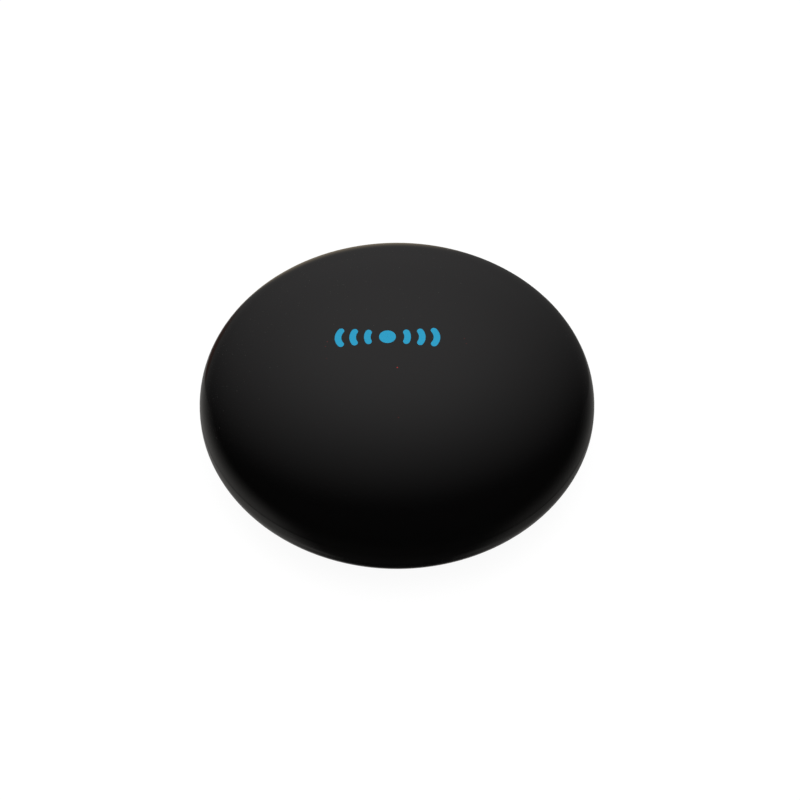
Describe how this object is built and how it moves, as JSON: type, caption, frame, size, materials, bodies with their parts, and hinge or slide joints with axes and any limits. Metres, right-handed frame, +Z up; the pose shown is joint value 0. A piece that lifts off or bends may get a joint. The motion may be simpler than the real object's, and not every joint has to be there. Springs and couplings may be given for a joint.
{
  "type": "smart ir blaster",
  "caption": "Glossy black domed disc that sends and learns infrared remote codes over Wi-Fi, with a rear power socket and a sprung reset button.",
  "frame": {"origin": "on the table under the centre of the casing, at the foot ring's lowest face", "axes": "+Z up, +Y to the rear with the power socket and the button, -Y to the front, +X to the right seen from the front"},
  "size_m": [0.11, 0.11, 0.037],
  "materials": {
    "casing_gloss": "mirror-gloss near-black infrared-pass plastic",
    "silicone": "matte dark silicone",
    "screw_steel": "zinc-plated steel",
    "button_plastic": "fine-textured black plastic",
    "switch_plastic": "black moulded plastic",
    "switch_plunger_plastic": "off-white moulded plastic",
    "tinned_metal": "tin-plated",
    "board_laminate": "green solder mask",
    "module_laminate": "blue solder mask",
    "chip_epoxy": "black moulded epoxy",
    "copper_trace": "copper under clear mask",
    "socket_steel": "nickel-plated stamped steel",
    "gold_plate": "gold-plated",
    "led_epoxy": "clear epoxy with a faint violet tint",
    "receiver_epoxy": "dark infrared-pass epoxy",
    "status_lens": "clear resin on a white base",
    "capacitor_can": "bare aluminium",
    "ceramic_tan": "tan ceramic"
  },
  "bodies": {
    "blaster": {"top_cover": "casing_gloss", "base_cover": "casing_gloss", "foot_ring": "silicone", "case_screws": "screw_steel", "switch_body": "switch_plastic", "switch_plate": "tinned_metal", "switch_pins": "tinned_metal", "main_board": "board_laminate", "board_screws": "screw_steel", "wifi_board": "module_laminate", "wifi_chip": "chip_epoxy", "wifi_shield": "tinned_metal", "wifi_antenna": "copper_trace", "usb_shell": "socket_steel", "usb_tongue": "switch_plastic", "usb_contacts": "gold_plate", "ir_led_1": "led_epoxy", "ir_led_2": "led_epoxy", "ir_led_3": "led_epoxy", "ir_led_4": "led_epoxy", "ir_led_5": "led_epoxy", "ir_led_6": "led_epoxy", "ir_led_7": "led_epoxy", "ir_led_8": "led_epoxy", "top_ir_led": "led_epoxy", "led_leads": "tinned_metal", "ir_receiver": "receiver_epoxy", "receiver_leads": "tinned_metal", "status_led": "status_lens", "ir_controller": "chip_epoxy", "controller_pins": "tinned_metal", "voltage_regulator": "chip_epoxy", "regulator_leads": "tinned_metal", "bulk_capacitor": "capacitor_can", "capacitor_base": "chip_epoxy", "driver_transistors": "chip_epoxy", "transistor_leads": "tinned_metal", "chip_resistors": "chip_epoxy", "chip_capacitors": "ceramic_tan", "protection_diode": "chip_epoxy"},
    "reset_button": {"reset_button": "button_plastic", "switch_plunger": "switch_plunger_plastic"}
  },
  "joints": [
    {"name": "reset_press", "type": "slide", "parent": "blaster", "child": "reset_button", "axis": [0, -1, 0], "range_m": [0, 0.0003], "stiffness_N_per_m": 4000}
  ]
}
